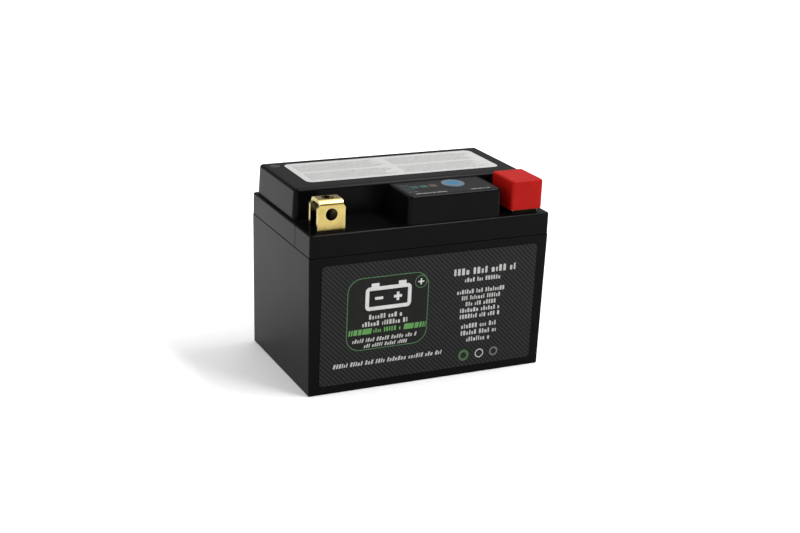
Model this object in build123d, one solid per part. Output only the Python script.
from build123d import *
import math
import os

# Small 12 V lithium motorcycle battery, four cells in series, in millimetres.
# +X runs along the length, -Y is the front with the label, +Z is up.
# The origin is the middle of the underside of the case.

# ---- Overall sizes ----
LENGTH = 113.0  # standard case size
WIDTH = 70.0
HEIGHT = 85.0  # to the top of the lid's rear block
RIM_HEIGHT = 10.0  # the lid's lower band, from the seam to the deck
BLOCK_HEIGHT = 13.4  # the rear block above the deck

# ---- Case ----
CASE_WALL = 2.4
CASE_FLOOR = 2.5
CASE_CORNER = 1.2
CASE_INNER_CORNER = 1.0
CASE_DRAFT = 0.8  # degrees, narrower at the bottom
CASE_BOTTOM_ROUND = 0.6
SEAM_CHAMFER = 0.35
REBATE_STEP = 1.2
REBATE_DEPTH = 4.0

# ---- Lid ----
LID_WALL = 2.4
RIM_INSET = 0.15
RIM_ROUND = 0.8
BLOCK_DRAFT = 2.6  # degrees
BLOCK_CORNER = 2.4
REAR_BLOCK_ROUND = 1.5
FRONT_BLOCK_ROUND = 1.0
REAR_BLOCK_SIDE_INSET = 1.6
REAR_BLOCK_BACK_INSET = 1.6
REAR_BLOCK_SETBACK = 23.0  # its front face behind the case's front
FRONT_BLOCK_LENGTH = 45.0
FRONT_BLOCK_INSET = 1.3  # its front face behind the case's front
FRONT_BLOCK_DROP = 1.0  # its top below the rear block's top
FRONT_BLOCK_OVERLAP = 10.0  # how far it runs on into the rear block
BLOCK_TO_CAP = 5.0
SIDE_GROOVE_WIDTH = 0.5
SIDE_GROOVE_DEPTH = 0.35
SIDE_GROOVE_SETBACK = 17.3
GLUE_GAP = 0.3

# ---- Terminals: brass straps bent into an upside-down U ----
TERMINAL_WIDTH = 12.2
TERMINAL_DEPTH = 9.8
TERMINAL_TOP_DROP = 0.0  # top of the strap below the lid's top
TERMINAL_SIDE_INSET = 10.8  # centre, from the side of the case
TERMINAL_FRONT_INSET = 3.7  # front leg's face, from the front of the case
STRAP = 1.5
STRAP_BEND = 2.4
SHOULDER_STEP = 0.9
SHOULDER_SLOPE = 1.2
SHOULDER_DROP = 2.0
SCREW_HOLE_RADIUS = 2.65
FRONT_HOLE_DROP = 6.0  # centre of the front hole below the strap's top
TAIL_WIDTH = 6.0
TAIL_BELOW_DECK = 9.6
TAIL_CLEARANCE = 0.2
SEAL_LENGTH = 11.0
SEAL_DEPTH = 6.0
SEAL_THICKNESS = 3.0
SEAL_CORNER = 1.5

# ---- Red cap over the positive terminal ----
CAP_WALL = 1.2
CAP_SIDE_CLEARANCE = 0.4
CAP_TOP_CLEARANCE = 0.3
CAP_BACK_ROOM = 6.5
CAP_ROUND = 1.4
CAP_TOP_ROUND = 1.25
CAP_INNER_ROUND = 0.4
CAP_DECK_GAP = 1.8

# ---- Labels ----
LABEL_THICKNESS = 0.25
LABEL_GAP = 0.02
LABEL_RECESS = 0.3
RECESS_CLEARANCE = 0.15
FRONT_LABEL_LENGTH = 102.0
FRONT_LABEL_HEIGHT = 54.0
FRONT_LABEL_BOTTOM = 4.0
FRONT_LABEL_CORNER = 1.5
TOP_LABEL_LENGTH = 93.0
TOP_LABEL_WIDTH = 31.0
TOP_LABEL_SHIFT = 1.5  # its middle, to the right of the case's middle
TOP_LABEL_BACK_INSET = 7.0  # its back edge, from the back of the case
TOP_LABEL_CORNER = 3.0
INDICATOR_LABEL_MARGIN = 1.6
INDICATOR_LABEL_CORNER = 1.0

# ---- Vent plug ----
VENT_SIDE_INSET = 7.6
VENT_BACK_INSET = 8.0
VENT_RADIUS = 2.0
VENT_HEAD_RADIUS = 2.5
VENT_HEAD_HEIGHT = 0.6
VENT_HEAD_ROUND = 0.3
VENT_BARB_RADIUS = 2.4
VENT_BARB_HEIGHT = 0.8
VENT_CLEARANCE = 0.05

# ---- Test button, switch and level lights ----
BUTTON_RADIUS = 5.2
BUTTON_CLEARANCE = 0.2
BUTTON_PROUD = 0.5
BUTTON_ROUND = 0.35
BUTTON_TRAVEL = 0.4
BUTTON_FLANGE_RADIUS = 6.4
BUTTON_FLANGE = 1.0
BUTTON_FLANGE_GAP = 0.3
BUTTON_STEM_RADIUS = 2.4
BUTTON_STEM = 0.4
BUTTON_RIGHT_INSET = 17.6  # centre, from the front block's right side
BUTTON_BACK_INSET = 8.0  # centre, in front of the rear block
PLUNGER_RADIUS = 1.75
PLUNGER_CLEARANCE = 0.1
PLUNGER_LENGTH = 3.0
SWITCH_SIZE = 6.0
SWITCH_HEIGHT = 3.5
SWITCH_PROTRUSION = 1.0
LIGHT_COUNT = 3
LIGHT_PITCH = 4.5
LIGHT_RADIUS = 1.5
LIGHT_FLANGE_RADIUS = 1.9
LIGHT_FLANGE = 0.8
LIGHT_HEIGHT = 5.0
LIGHT_DOME = 1.35
LIGHT_HOLE_CLEARANCE = 0.1
LIGHT_LEFT_INSET = 9.0  # first light, from the front block's left side
INDICATOR_BOARD_THICKNESS = 1.2
INDICATOR_BOARD_DEPTH = 16.0
INDICATOR_BOARD_MARGIN = 1.1  # from the front block's inner walls
INDICATOR_BOARD_SHIFT = 1.4  # its middle, behind the button's centre line
INDICATOR_BOSS_RADIUS = 2.0
INDICATOR_BOSS_INSET = 2.3
INDICATOR_BOSS_FORWARD = 4.5  # in front of the board's middle

# ---- Screws for both boards ----
SCREW_RADIUS = 0.85
SCREW_CLEARANCE = 0.05
SCREW_HEAD_RADIUS = 1.9
SCREW_HEAD = 1.3
SCREW_GRIP = 5.0
SCREW_SLOT = 0.5

# ---- Cells and their holders ----
CELL_COUNT = 4
CELL_RADIUS = 9.0
CELL_LENGTH = 64.0
CELL_ROUND = 0.8
CELL_SPACING = 1.0  # between one sleeve and the next
CONTACT_RADIUS = 2.9
SLEEVE_WALL = 0.25
SLEEVE_CLEARANCE = 0.05
SLEEVE_SHORT = 0.3
HOLDER_LIP = 1.2
HOLDER_POCKET = 6.8
HOLDER_CLEARANCE = 0.15
HOLDER_WALL = 1.3
HOLDER_CORNER = 4.0
WINDOW_RADIUS = 6.5
BOARD_BOSS_RADIUS = 2.5
BOARD_BOSS_HEIGHT = 3.0
BOARD_BOSS_INSET = 2.95  # its centre, from the holder's long side

# ---- Nickel strips ----
NICKEL = 0.3
NICKEL_WIDTH = 8.0
NICKEL_OVERHANG = 5.0
WELD_RADIUS = 4.0
TAB_WIDTH = 5.0
TAB_ABOVE_BOARD = 0.6
SENSE_TAB_REACH = 1.9  # in front of the lower holder

# ---- Balance board ----
BOARD_END_INSET = 2.15  # the board's end, inside the holder's end
BOARD_EDGE = 2.2  # from a screw's centre to the board's long side
BOARD_THICKNESS = 1.6
BOARD_HOLE_CLEARANCE = 0.2
SHEET_THICKNESS = 0.4
SHEET_MARGIN = 0.5
SHEET_HOLE_CLEARANCE = 0.3
CHIP_LENGTH = 9.0
CHIP_WIDTH = 6.0
CHIP_HEIGHT = 1.7
CHIP_ROUND = 0.2
MOSFET_LENGTH = 5.0
MOSFET_WIDTH = 6.0
MOSFET_HEIGHT = 1.1
MOSFET_INNER_X = 6.0  # the inner pair, each side of the middle
MOSFET_OUTSET = 7.4  # the outer pair, outside the board's screws
RESISTOR_LENGTH = 6.4
RESISTOR_WIDTH = 3.2
RESISTOR_HEIGHT = 0.7
CAPACITOR_RADIUS = 2.5
CAPACITOR_HEIGHT = 3.2
CAPACITOR_PITCH = 12.0
CAPACITOR_EDGE = 1.0  # from the board's back edge
HEADER_LENGTH = 7.0
HEADER_DEPTH = 3.6
HEADER_HEIGHT = 3.4
HEADER_X = 4.0  # of the socket on the balance board
INDICATOR_SOCKET_INSET = 16.0  # its middle, from the front block's left side

# ---- Wires ----
LEAD_RADIUS = 1.5
LEAD_BEND = 5.0
LEAD_START_INSET = 11.0  # from the end of the board
LEAD_BELOW_SEAL = 0.3
LEAD_TO_HOLDER = 0.5  # least gap between a lead and the end of the cell holder
SENSE_RADIUS = 0.6
SENSE_BEND = 2.5
SENSE_REACH = 5.0  # onto the board
SENSE_X = 14.0
SIGNAL_RADIUS = 0.55
SIGNAL_PITCH = 2.5
SIGNAL_COUNT = 2
WIRE_GAP = 0.05

# ---- Foam pads ----
BASE_FOAM = 2.0
FOAM_WALL_GAP = 0.4
FOAM_BELOW_SEAM = 4.0
FOAM_TOP_LENGTH = 46.0
FOAM_TOP_WIDTH = 9.0
WIRE_CHANNEL = 0.6  # between the sense wires and the front pad

# ---- Levels and places worked out from the sizes above ----
deck_z = HEIGHT - BLOCK_HEIGHT
seam_z = deck_z - RIM_HEIGHT
front = -WIDTH / 2
back = WIDTH / 2
case_lean = seam_z * math.tan(math.radians(CASE_DRAFT))
deck_under = deck_z - LID_WALL
roof_z = HEIGHT - LID_WALL

terminal_x = LENGTH / 2 - TERMINAL_SIDE_INSET
terminal_front = front + TERMINAL_FRONT_INSET
terminal_back = terminal_front + TERMINAL_DEPTH
terminal_top = HEIGHT - TERMINAL_TOP_DROP
tail_y = terminal_back - STRAP / 2
tail_bottom = deck_z - TAIL_BELOW_DECK
seal_bottom = deck_under - SEAL_THICKNESS

cap_half = TERMINAL_WIDTH / 2 + CAP_SIDE_CLEARANCE + CAP_WALL
cap_front = terminal_front - CAP_SIDE_CLEARANCE - CAP_WALL
cap_back = terminal_back + CAP_BACK_ROOM + CAP_WALL
cap_bottom = deck_z + CAP_DECK_GAP
cap_top = terminal_top + CAP_TOP_CLEARANCE + CAP_WALL

rear_block_x = LENGTH / 2 - REAR_BLOCK_SIDE_INSET
rear_block_front = front + REAR_BLOCK_SETBACK
rear_block_back = back - REAR_BLOCK_BACK_INSET
front_block_right = terminal_x - cap_half - BLOCK_TO_CAP
front_block_left = front_block_right - FRONT_BLOCK_LENGTH
front_block_front = front + FRONT_BLOCK_INSET
front_block_top = HEIGHT - FRONT_BLOCK_DROP
front_block_roof = front_block_top - LID_WALL
front_block_lean = (front_block_top - deck_z) * math.tan(math.radians(BLOCK_DRAFT))

button_x = front_block_right - BUTTON_RIGHT_INSET
button_y = rear_block_front - BUTTON_BACK_INSET
flange_top = front_block_roof - BUTTON_FLANGE_GAP
flange_bottom = flange_top - BUTTON_FLANGE
plunger_top = flange_bottom - BUTTON_STEM
switch_top = plunger_top - SWITCH_PROTRUSION
indicator_z = switch_top - SWITCH_HEIGHT  # top face of the indicator board
indicator_left = front_block_left + LID_WALL + INDICATOR_BOARD_MARGIN
indicator_right = front_block_right - LID_WALL - INDICATOR_BOARD_MARGIN
indicator_y = button_y + INDICATOR_BOARD_SHIFT
indicator_front = indicator_y - INDICATOR_BOARD_DEPTH / 2
indicator_back = indicator_y + INDICATOR_BOARD_DEPTH / 2
boss_y = indicator_y - INDICATOR_BOSS_FORWARD
boss_xs = (indicator_left + INDICATOR_BOSS_INSET, indicator_right - INDICATOR_BOSS_INSET)
light_xs = [front_block_left + LIGHT_LEFT_INSET + i * LIGHT_PITCH for i in range(LIGHT_COUNT)]
indicator_socket_x = front_block_left + INDICATOR_SOCKET_INSET
board_screw_pilot = SCREW_RADIUS + SCREW_CLEARANCE

vent_place = (-LENGTH / 2 + VENT_SIDE_INSET, back - VENT_BACK_INSET)

row_y = (rear_block_front + rear_block_back) / 2
sleeve_radius = CELL_RADIUS + SLEEVE_CLEARANCE + SLEEVE_WALL
cell_pitch = 2 * sleeve_radius + CELL_SPACING
cell_xs = [(i - (CELL_COUNT - 1) / 2) * cell_pitch for i in range(CELL_COUNT)]
pocket_radius = sleeve_radius + HOLDER_CLEARANCE
holder_x = cell_xs[-1] + pocket_radius + HOLDER_WALL
holder_y = pocket_radius + HOLDER_WALL
foam_z = CASE_FLOOR + BASE_FOAM
holder_bottom = foam_z + NICKEL
cell_bottom = holder_bottom + HOLDER_LIP
cell_top = cell_bottom + CELL_LENGTH
holder_top = cell_top + HOLDER_LIP
strip_top = holder_top + NICKEL
board_z = holder_top + BOARD_BOSS_HEIGHT  # underside of the balance board
board_top = board_z + BOARD_THICKNESS
boss_reach = holder_y - BOARD_BOSS_INSET
board_boss_places = [(sx * cell_pitch, row_y + sy * boss_reach) for sx in (-1, 1) for sy in (-1, 1)]
board_front = row_y - boss_reach - BOARD_EDGE
board_back = row_y + boss_reach + BOARD_EDGE
board_end = holder_x - BOARD_END_INSET
mosfet_xs = [side * x for side in (-1, 1) for x in (MOSFET_INNER_X, cell_pitch + MOSFET_OUTSET)]
lead_x = max(terminal_x, holder_x + LEAD_TO_HOLDER + LEAD_RADIUS)  # where the leads come down
sense_y = row_y - holder_y - SENSE_TAB_REACH / 2
foam_front_back = row_y - holder_y - SENSE_TAB_REACH - WIRE_CHANNEL
foam_x = LENGTH / 2 - CASE_WALL - case_lean - FOAM_WALL_GAP
foam_y = WIDTH / 2 - CASE_WALL - case_lean - FOAM_WALL_GAP
foam_top_z = seam_z - FOAM_BELOW_SEAM


# ---- Small helpers ----
def block(x0, x1, y0, y1, z0, z1):
    """A plain block between two corners."""
    middle = Pos((x0 + x1) / 2, (y0 + y1) / 2, (z0 + z1) / 2)
    return middle * Box(x1 - x0, y1 - y0, z1 - z0)


def post(x, y, z0, z1, radius):
    """An upright round post."""
    return Pos(x, y, (z0 + z1) / 2) * Cylinder(radius, z1 - z0)


def rounded_block(x0, x1, y0, y1, z0, z1, corner, draft=0.0):
    """A block with round upright corners that narrows upwards by the draft angle."""
    base = Pos((x0 + x1) / 2, (y0 + y1) / 2, z0) * RectangleRounded(x1 - x0, y1 - y0, corner)
    return extrude(base, z1 - z0, taper=draft)


def round_top(solid, radius):
    """The solid with the edges around its top face rounded."""
    return fillet(solid.faces().sort_by(Axis.Z)[-1].edges(), radius)


def tub(inset, corner, z0, z1):
    """The case's drafted outline, moved in by the inset, between two levels."""
    length = LENGTH - 2 * inset
    width = WIDTH - 2 * inset
    outline = Pos(0, 0, z1) * RectangleRounded(length, width, corner)
    return extrude(outline, z1 - z0, dir=(0, 0, -1), taper=CASE_DRAFT)


def wire(points, bend, radius):
    """A round wire along straight runs joined by tangent arcs."""
    path = FilletPolyline(*points, radius=bend)
    section = Plane(path @ 0, z_dir=path % 0) * Circle(radius)
    made = sweep(section, path=path)
    expected = math.pi * radius**2 * path.length
    print("wire", round(path.length, 2), "mm, volume over section x length", round(made.volume / expected, 4))
    return made


def screw(x, y, z_seat, down, grip):
    """A small slotted screw whose head sits on z_seat; down is -1 or +1."""
    head = post(x, y, *sorted((z_seat, z_seat - down * SCREW_HEAD)), SCREW_HEAD_RADIUS)
    shank = post(x, y, *sorted((z_seat, z_seat + down * grip)), SCREW_RADIUS)
    top = z_seat - down * SCREW_HEAD
    slot_ends = sorted((top, top + down * SCREW_SLOT))
    half = SCREW_SLOT / 2
    slot = block(x - SCREW_HEAD_RADIUS, x + SCREW_HEAD_RADIUS, y - half, y + half, *slot_ends)
    return head + shank - slot


# ---- Case ----
def make_case():
    outside = tub(0, CASE_CORNER, 0, seam_z)
    outside = fillet(outside.faces().sort_by(Axis.Z)[0].edges(), CASE_BOTTOM_ROUND)
    inside = tub(CASE_WALL, CASE_INNER_CORNER, CASE_FLOOR, seam_z)
    return outside - inside - rebate(0, seam_z - REBATE_DEPTH, seam_z)


def rebate(inset, z0, z1):
    """The straight-sided step inside the case's mouth that takes the lid's lip."""
    x = LENGTH / 2 - CASE_WALL + REBATE_STEP - inset
    y = WIDTH / 2 - CASE_WALL + REBATE_STEP - inset
    return rounded_block(-x, x, -y, y, z0, z1, CASE_CORNER)


# ---- Lid ----
def lid_cavity(z0, z1):
    x = LENGTH / 2 - RIM_INSET - LID_WALL
    y = WIDTH / 2 - RIM_INSET - LID_WALL
    return rounded_block(-x, x, -y, y, z0, z1, CASE_CORNER)


def rear_block(inset, z0, z1):
    return rounded_block(
        -rear_block_x + inset,
        rear_block_x - inset,
        rear_block_front + inset,
        rear_block_back - inset,
        z0,
        z1,
        BLOCK_CORNER,
        BLOCK_DRAFT,
    )


def front_block(inset, z0, z1):
    return rounded_block(
        front_block_left + inset,
        front_block_right - inset,
        front_block_front + inset,
        rear_block_front + FRONT_BLOCK_OVERLAP,
        z0,
        z1,
        BLOCK_CORNER,
        BLOCK_DRAFT,
    )


def make_lid():
    rim_x = LENGTH / 2 - RIM_INSET
    rim_y = WIDTH / 2 - RIM_INSET
    rim = rounded_block(-rim_x, rim_x, -rim_y, rim_y, seam_z, deck_z, CASE_CORNER)
    rim = round_top(rim, RIM_ROUND)
    rim = chamfer(rim.faces().sort_by(Axis.Z)[0].edges(), SEAM_CHAMFER)
    lip = rebate(GLUE_GAP, seam_z - REBATE_DEPTH, seam_z)
    shell = rim + lip + round_top(rear_block(0, deck_z, HEIGHT), REAR_BLOCK_ROUND)
    shell += round_top(front_block(0, deck_z, front_block_top), FRONT_BLOCK_ROUND)
    shell -= lid_cavity(seam_z - REBATE_DEPTH, deck_under)
    shell -= rear_block(LID_WALL, deck_under, roof_z)
    shell -= front_block(LID_WALL, deck_under, front_block_roof)
    for side in (-1, 1):
        groove_y = front + SIDE_GROOVE_SETBACK
        half = SIDE_GROOVE_WIDTH / 2
        ends = sorted((side * rim_x, side * (rim_x - SIDE_GROOVE_DEPTH)))
        shell -= block(*ends, groove_y - half, groove_y + half, seam_z, deck_z)
        half_tail = TAIL_WIDTH / 2 + TAIL_CLEARANCE
        half_strap = STRAP / 2 + TAIL_CLEARANCE
        slot_xs = (side * terminal_x - half_tail, side * terminal_x + half_tail)
        shell -= block(*slot_xs, tail_y - half_strap, tail_y + half_strap, deck_under, deck_z)
    shell -= top_label_outline(RECESS_CLEARANCE, HEIGHT - LABEL_RECESS, HEIGHT)
    shell -= indicator_label_outline(RECESS_CLEARANCE, front_block_top - LABEL_RECESS, front_block_top)
    shell -= post(button_x, button_y, front_block_roof, front_block_top, BUTTON_RADIUS + BUTTON_CLEARANCE)
    for x in light_xs:
        shell -= post(x, button_y, front_block_roof, front_block_top, LIGHT_RADIUS + LIGHT_HOLE_CLEARANCE)
    shell -= post(*vent_place, roof_z, HEIGHT, VENT_RADIUS)
    shell -= post(*vent_place, HEIGHT - VENT_HEAD_HEIGHT, HEIGHT, VENT_HEAD_RADIUS + VENT_CLEARANCE)
    for x in boss_xs:
        shell += post(x, boss_y, indicator_z, front_block_roof, INDICATOR_BOSS_RADIUS)
        shell -= post(x, boss_y, indicator_z, indicator_z + SCREW_GRIP, board_screw_pilot)
    return shell


def make_glue_bead():
    """The ring of adhesive between the lid's lip and the case."""
    ring = rebate(0, seam_z - REBATE_DEPTH, seam_z)
    return ring - rebate(GLUE_GAP, seam_z - REBATE_DEPTH, seam_z)


def make_vent_plug():
    head = post(*vent_place, HEIGHT - VENT_HEAD_HEIGHT, HEIGHT, VENT_HEAD_RADIUS)
    shank = post(*vent_place, roof_z, HEIGHT - VENT_HEAD_HEIGHT, VENT_RADIUS - VENT_CLEARANCE)
    barb = post(*vent_place, roof_z - VENT_BARB_HEIGHT, roof_z, VENT_BARB_RADIUS)
    return round_top(head, VENT_HEAD_ROUND) + shank + barb


# ---- Terminals ----
def make_terminal(side):
    """A strap bent into an upside-down U, its back leg running on down through the lid."""
    centre = side * terminal_x
    half = TERMINAL_WIDTH / 2
    solid = block(centre - half, centre + half, terminal_front, terminal_back, deck_z, terminal_top)
    solid = fillet(solid.faces().sort_by(Axis.Z)[-1].edges().filter_by(Axis.X), STRAP_BEND)
    gap_front = terminal_front + STRAP
    gap_back = terminal_back - STRAP
    gap = block(centre - half, centre + half, gap_front, gap_back, deck_z, terminal_top - STRAP)
    gap = fillet(gap.faces().sort_by(Axis.Z)[-1].edges().filter_by(Axis.X), STRAP_BEND - STRAP)
    solid -= gap
    shoulder_z = terminal_top - SHOULDER_DROP
    narrow = half - SHOULDER_STEP
    outline = Polyline(
        (-half, deck_z),
        (half, deck_z),
        (half, shoulder_z - SHOULDER_SLOPE),
        (narrow, shoulder_z),
        (narrow, terminal_top),
        (-narrow, terminal_top),
        (-narrow, shoulder_z),
        (-half, shoulder_z - SHOULDER_SLOPE),
        close=True,
    )
    plane = Plane(origin=(centre, terminal_back, 0), x_dir=(1, 0, 0), z_dir=(0, -1, 0))
    solid = solid & extrude(plane * make_face(outline), TERMINAL_DEPTH)
    bore_centre = Pos(centre, terminal_front + STRAP / 2, terminal_top - FRONT_HOLE_DROP)
    solid -= bore_centre * Rot(90, 0, 0) * Cylinder(SCREW_HOLE_RADIUS, STRAP)
    hole_y = (terminal_front + terminal_back) / 2
    solid -= post(centre, hole_y, terminal_top - STRAP, terminal_top, SCREW_HOLE_RADIUS)
    tail_xs = (centre - TAIL_WIDTH / 2, centre + TAIL_WIDTH / 2)
    return solid + block(*tail_xs, terminal_back - STRAP, terminal_back, tail_bottom, deck_z)


def make_terminal_seal(side):
    """The resin that seals a terminal's tail under the deck."""
    centre = side * terminal_x
    seal_xs = (centre - SEAL_LENGTH / 2, centre + SEAL_LENGTH / 2)
    seal_ys = (tail_y - SEAL_DEPTH / 2, tail_y + SEAL_DEPTH / 2)
    resin = rounded_block(*seal_xs, *seal_ys, seal_bottom, deck_under, SEAL_CORNER)
    tail_xs = (centre - TAIL_WIDTH / 2, centre + TAIL_WIDTH / 2)
    return resin - block(*tail_xs, terminal_back - STRAP, terminal_back, seal_bottom, deck_under)


def make_terminal_cap():
    def cap_block(inset, z1, corner):
        xs = (terminal_x - cap_half + inset, terminal_x + cap_half - inset)
        return rounded_block(*xs, cap_front + inset, cap_back - inset, cap_bottom, z1, corner)

    shell = round_top(cap_block(0, cap_top, CAP_ROUND), CAP_TOP_ROUND)
    return shell - cap_block(CAP_WALL, cap_top - CAP_WALL, CAP_INNER_ROUND)


# ---- Labels ----
def make_front_label():
    lean = math.radians(CASE_DRAFT)
    middle_z = FRONT_LABEL_BOTTOM + FRONT_LABEL_HEIGHT / 2
    face_y = front + (seam_z - middle_z) * math.tan(lean)
    normal = (0, -math.cos(lean), -math.sin(lean))
    face = Plane(origin=(0, face_y, middle_z), x_dir=(1, 0, 0), z_dir=normal).offset(LABEL_GAP)
    outline = RectangleRounded(FRONT_LABEL_LENGTH, FRONT_LABEL_HEIGHT, FRONT_LABEL_CORNER)
    return extrude(face * outline, LABEL_THICKNESS)


def top_label_outline(margin, z0, z1):
    half = TOP_LABEL_LENGTH / 2 + margin
    y1 = back - TOP_LABEL_BACK_INSET + margin
    y0 = back - TOP_LABEL_BACK_INSET - TOP_LABEL_WIDTH - margin
    return rounded_block(TOP_LABEL_SHIFT - half, TOP_LABEL_SHIFT + half, y0, y1, z0, z1, TOP_LABEL_CORNER)


def make_top_label():
    bottom = HEIGHT - LABEL_RECESS
    return top_label_outline(0, bottom, bottom + LABEL_THICKNESS)


def indicator_label_outline(margin, z0, z1):
    inset = front_block_lean + INDICATOR_LABEL_MARGIN - margin
    return rounded_block(
        front_block_left + inset,
        front_block_right - inset,
        front_block_front + inset,
        rear_block_front - INDICATOR_LABEL_MARGIN / 4 + margin,
        z0,
        z1,
        INDICATOR_LABEL_CORNER,
    )


def make_indicator_label():
    bottom = front_block_top - LABEL_RECESS
    label = indicator_label_outline(0, bottom, bottom + LABEL_THICKNESS)
    label -= post(button_x, button_y, bottom, bottom + LABEL_THICKNESS, BUTTON_RADIUS + BUTTON_CLEARANCE)
    return label


# ---- Test button, switch and level lights ----
def make_test_button():
    pad = post(button_x, button_y, flange_top, front_block_top + BUTTON_PROUD, BUTTON_RADIUS)
    pad = round_top(pad, BUTTON_ROUND)
    flange = post(button_x, button_y, flange_bottom, flange_top, BUTTON_FLANGE_RADIUS)
    stem = post(button_x, button_y, plunger_top, flange_bottom, BUTTON_STEM_RADIUS)
    return pad + flange + stem


def make_switch_body():
    half = SWITCH_SIZE / 2
    body = block(button_x - half, button_x + half, button_y - half, button_y + half, indicator_z, switch_top)
    well_bottom = plunger_top - PLUNGER_LENGTH - BUTTON_TRAVEL - PLUNGER_CLEARANCE
    return body - post(button_x, button_y, well_bottom, switch_top, PLUNGER_RADIUS + PLUNGER_CLEARANCE)


def make_switch_plunger():
    return post(button_x, button_y, plunger_top - PLUNGER_LENGTH, plunger_top, PLUNGER_RADIUS)


def make_light(x):
    flange = post(x, button_y, indicator_z, indicator_z + LIGHT_FLANGE, LIGHT_FLANGE_RADIUS)
    lamp = post(x, button_y, indicator_z, indicator_z + LIGHT_HEIGHT, LIGHT_RADIUS)
    return flange + round_top(lamp, LIGHT_DOME)


def make_indicator_board():
    bottom = indicator_z - INDICATOR_BOARD_THICKNESS
    board = block(indicator_left, indicator_right, indicator_front, indicator_back, bottom, indicator_z)
    for x in boss_xs:
        board -= post(x, boss_y, bottom, indicator_z, SCREW_RADIUS + BOARD_HOLE_CLEARANCE)
    return board


def make_header(x, y0, z0):
    """A small socket that the signal wires plug into."""
    half = HEADER_LENGTH / 2
    return block(x - half, x + half, y0, y0 + HEADER_DEPTH, z0, z0 + HEADER_HEIGHT)


def make_indicator_screws():
    seat = indicator_z - INDICATOR_BOARD_THICKNESS
    return [screw(x, boss_y, seat, 1, SCREW_GRIP) for x in boss_xs]


def make_signal_wires():
    """Wires between the two sockets, a gentle step down from one board to the other."""
    z_indicator = indicator_z + HEADER_HEIGHT / 2
    z_balance = board_top + HEADER_HEIGHT / 2
    y1 = indicator_back
    y2 = board_front
    third = (y2 - y1) / 3
    wires = []
    for i in range(SIGNAL_COUNT):
        offset = (i - (SIGNAL_COUNT - 1) / 2) * SIGNAL_PITCH
        points = [
            (indicator_socket_x + offset, y1, z_indicator),
            (indicator_socket_x + offset, y1 + third, z_indicator),
            (HEADER_X + offset, y2 - third, z_balance),
            (HEADER_X + offset, y2, z_balance),
        ]
        wires.append(wire(points, SENSE_BEND, SIGNAL_RADIUS))
    return wires


# ---- Cells ----
def make_cell(x):
    can = post(x, row_y, cell_bottom, cell_top, CELL_RADIUS)
    ends = can.edges().filter_by(GeomType.CIRCLE)
    return fillet(ends, CELL_ROUND)


def make_cell_contact(x, upward):
    """The raised positive contact on a cell's end."""
    if upward:
        return post(x, row_y, cell_top, holder_top, CONTACT_RADIUS)
    return post(x, row_y, holder_bottom, cell_bottom, CONTACT_RADIUS)


def make_cell_sleeve(x):
    ends = (cell_bottom + SLEEVE_SHORT, cell_top - SLEEVE_SHORT)
    return post(x, row_y, *ends, sleeve_radius) - post(x, row_y, *ends, CELL_RADIUS + SLEEVE_CLEARANCE)


def make_holder(is_upper):
    """A tray with a pocket for each cell's end and a window to weld through."""
    height = HOLDER_LIP + HOLDER_POCKET
    z0 = holder_top - height if is_upper else holder_bottom
    y0, y1 = row_y - holder_y, row_y + holder_y
    tray = rounded_block(-holder_x, holder_x, y0, y1, z0, z0 + height, HOLDER_CORNER)
    pocket_ends = (z0, cell_top) if is_upper else (cell_bottom, z0 + height)
    for x in cell_xs:
        tray -= post(x, row_y, *pocket_ends, pocket_radius)
        tray -= post(x, row_y, z0, z0 + height, WINDOW_RADIUS)
    if is_upper:
        for x, y in board_boss_places:
            tray += post(x, y, holder_top, board_z, BOARD_BOSS_RADIUS)
            tray -= post(x, y, board_z - SCREW_GRIP, board_z, board_screw_pilot)
    return tray


# ---- Nickel strips ----
def strip(x0, x1, z0):
    half = NICKEL_WIDTH / 2
    return block(x0, x1, row_y - half, row_y + half, z0, z0 + NICKEL)


def make_lower_link(positive_x, negative_x, tab_x):
    """Joins one cell's positive contact to the next cell's can under the row."""
    plate = strip(positive_x - NICKEL_OVERHANG, negative_x + NICKEL_OVERHANG, foam_z)
    plate += post(negative_x, row_y, holder_bottom, cell_bottom, WELD_RADIUS)
    half = TAB_WIDTH / 2
    tab_front = row_y - holder_y - SENSE_TAB_REACH
    return plate + block(tab_x - half, tab_x + half, tab_front, row_y, foam_z, holder_bottom)


def make_upper_link():
    """Joins the second and third cells, with a tab up to the balance board."""
    positive_x, negative_x = cell_xs[1], cell_xs[2]
    plate = strip(positive_x - NICKEL_OVERHANG, negative_x + NICKEL_OVERHANG, holder_top)
    plate += post(negative_x, row_y, cell_top, holder_top, WELD_RADIUS)
    half = TAB_WIDTH / 2
    tab_front = board_front - NICKEL
    plate += block(-half, half, tab_front, row_y, holder_top, strip_top)
    return plate + block(-half, half, tab_front, board_front, holder_top, board_top + TAB_ABOVE_BOARD)


def make_end_strip(side):
    """Carries one end of the row to the end of the balance board."""
    x = side * cell_xs[-1]
    ends = sorted((x - side * NICKEL_OVERHANG, side * (board_end + NICKEL)))
    plate = strip(*ends, holder_top)
    if side < 0:
        plate += post(x, row_y, cell_top, holder_top, WELD_RADIUS)
    upright = sorted((side * board_end, side * (board_end + NICKEL)))
    half = TAB_WIDTH / 2
    top = board_top + TAB_ABOVE_BOARD
    return plate + block(*upright, row_y - half, row_y + half, holder_top, top)


# ---- Balance board ----
def make_insulating_sheet():
    x = board_end - SHEET_MARGIN
    y0 = board_front + SHEET_MARGIN
    y1 = board_back - SHEET_MARGIN
    sheet = block(-x, x, y0, y1, strip_top, strip_top + SHEET_THICKNESS)
    for place in board_boss_places:
        ends = (strip_top, strip_top + SHEET_THICKNESS)
        sheet -= post(*place, *ends, BOARD_BOSS_RADIUS + SHEET_HOLE_CLEARANCE)
    return sheet


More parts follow.
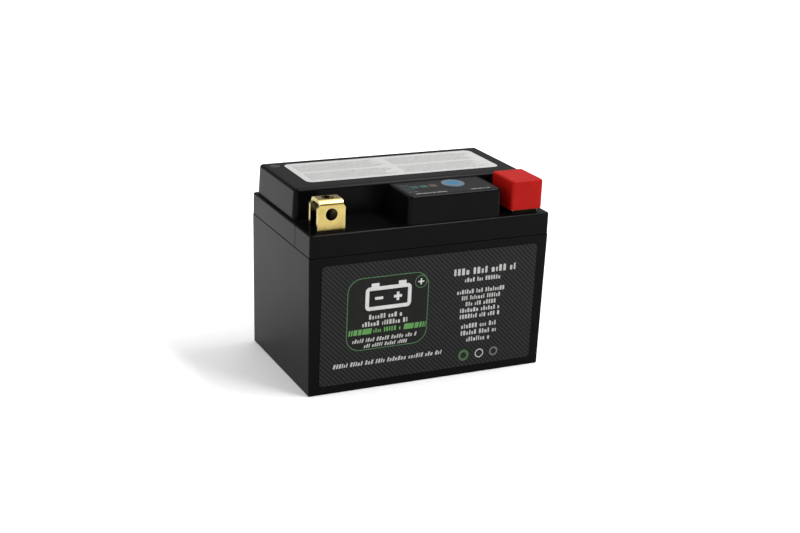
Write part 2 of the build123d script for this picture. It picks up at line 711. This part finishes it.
def make_balance_board():
    board = block(-board_end, board_end, board_front, board_back, board_z, board_top)
    for place in board_boss_places:
        board -= post(*place, board_z, board_top, SCREW_RADIUS + BOARD_HOLE_CLEARANCE)
    return board


def make_balance_screws():
    return [screw(*place, board_top, -1, SCREW_GRIP) for place in board_boss_places]


def on_board(x, y, length, width, height):
    """A flat component on the balance board, about a centre."""
    return block(x - length / 2, x + length / 2, y - width / 2, y + width / 2, board_top, board_top + height)


def make_balance_chip():
    chip = on_board(0, row_y, CHIP_LENGTH, CHIP_WIDTH, CHIP_HEIGHT)
    return round_top(chip, CHIP_ROUND)


def make_mosfets():
    """Switching transistors behind the row's centre line, a pair each side of the middle."""
    y = row_y + MOSFET_WIDTH
    return [on_board(x, y, MOSFET_LENGTH, MOSFET_WIDTH, MOSFET_HEIGHT) for x in mosfet_xs]


def make_resistors():
    """Bleed resistors, one above each cell."""
    return [on_board(x, row_y, RESISTOR_LENGTH, RESISTOR_WIDTH, RESISTOR_HEIGHT) for x in cell_xs]


def make_capacitors():
    y = board_back - CAPACITOR_RADIUS - CAPACITOR_EDGE
    ends = (board_top, board_top + CAPACITOR_HEIGHT)
    return [post(i * CAPACITOR_PITCH, y, *ends, CAPACITOR_RADIUS) for i in (-1, 0, 1)]


# ---- Wires ----
def make_lead(side):
    """From the balance board, down inside the lid, forward to a terminal's tail."""
    z_board = board_top + LEAD_RADIUS + WIRE_GAP
    z_tail = seal_bottom - LEAD_BELOW_SEAL - LEAD_RADIUS
    x_board = side * (board_end - LEAD_START_INSET)
    y_board = board_front + LEAD_RADIUS * 2
    x_tail = side * terminal_x
    x_down = side * lead_x
    points = [(x_board, y_board, z_board), (x_down, y_board, z_board), (x_down, y_board, z_tail)]
    if lead_x > terminal_x:
        points.append((x_tail, terminal_back + LEAD_BEND, z_tail))
    points.append((x_tail, terminal_back, z_tail))
    return wire(points, LEAD_BEND, LEAD_RADIUS)


def make_sense_wire(x):
    """From a lower link's tab up the front of the cells and onto the board."""
    z_board = board_top + SENSE_RADIUS + WIRE_GAP
    points = [(x, sense_y, holder_bottom), (x, sense_y, z_board), (x, board_front + SENSE_REACH, z_board)]
    return wire(points, SENSE_BEND, SENSE_RADIUS)


# ---- Foam pads ----
def make_foam_base():
    return rounded_block(-foam_x, foam_x, -foam_y, foam_y, CASE_FLOOR, foam_z, CASE_CORNER)


def make_foam_front():
    return block(-foam_x, foam_x, -foam_y, foam_front_back, foam_z, foam_top_z)


def make_foam_rear():
    return block(-foam_x, foam_x, row_y + holder_y, foam_y, foam_z, foam_top_z)


def make_foam_end(side):
    ends = sorted((side * holder_x, side * foam_x))
    return block(*ends, foam_front_back, row_y + holder_y, foam_z, foam_top_z)


def make_foam_top():
    half = FOAM_TOP_LENGTH / 2
    return block(-half, half, board_back - FOAM_TOP_WIDTH, board_back, board_top + CAPACITOR_HEIGHT, roof_z)


# ---- Every node and its solids ----
nodes = {
    "case": make_case(),
    "lid": make_lid(),
    "lid_glue_bead": make_glue_bead(),
    "vent_plug": make_vent_plug(),
    "negative_terminal": make_terminal(-1),
    "positive_terminal": make_terminal(1),
    "negative_terminal_seal": make_terminal_seal(-1),
    "positive_terminal_seal": make_terminal_seal(1),
    "terminal_cap": make_terminal_cap(),
    "front_label": make_front_label(),
    "top_label": make_top_label(),
    "indicator_label": make_indicator_label(),
    "test_button": make_test_button(),
    "switch_plunger": make_switch_plunger(),
    "switch_body": make_switch_body(),
    "indicator_board": make_indicator_board(),
    "indicator_socket": make_header(indicator_socket_x, indicator_back - HEADER_DEPTH, indicator_z),
    "indicator_screws": make_indicator_screws(),
    "signal_wires": make_signal_wires(),
    "balance_board": make_balance_board(),
    "balance_socket": make_header(HEADER_X, board_front, board_top),
    "balance_screws": make_balance_screws(),
    "balance_chip": make_balance_chip(),
    "balance_mosfets": make_mosfets(),
    "balance_resistors": make_resistors(),
    "balance_capacitors": make_capacitors(),
    "insulating_sheet": make_insulating_sheet(),
    "lower_cell_holder": make_holder(False),
    "upper_cell_holder": make_holder(True),
    "lower_link_left": make_lower_link(cell_xs[0], cell_xs[1], -SENSE_X),
    "lower_link_right": make_lower_link(cell_xs[2], cell_xs[3], SENSE_X),
    "upper_link": make_upper_link(),
    "negative_end_strip": make_end_strip(-1),
    "positive_end_strip": make_end_strip(1),
    "sense_wire_left": make_sense_wire(-SENSE_X),
    "sense_wire_right": make_sense_wire(SENSE_X),
    "negative_lead": make_lead(-1),
    "positive_lead": make_lead(1),
    "foam_base": make_foam_base(),
    "foam_front": make_foam_front(),
    "foam_rear": make_foam_rear(),
    "foam_left": make_foam_end(-1),
    "foam_right": make_foam_end(1),
    "foam_top": make_foam_top(),
}
for name, x in zip(("low", "half", "full"), light_xs):
    nodes[f"level_light_{name}"] = make_light(x)
for number, x in enumerate(cell_xs, start=1):
    nodes[f"cell_{number}"] = make_cell(x)
    nodes[f"cell_{number}_contact"] = make_cell_contact(x, number % 2 == 0)
    nodes[f"cell_{number}_sleeve"] = make_cell_sleeve(x)

os.makedirs("parts", exist_ok=True)
for name, made in nodes.items():
    pieces = made if isinstance(made, list) else [made]
    node = Compound(children=[solid for piece in pieces for solid in piece.solids()])
    export_step(node, f"parts/{name}.step")
print(len(nodes), "nodes")
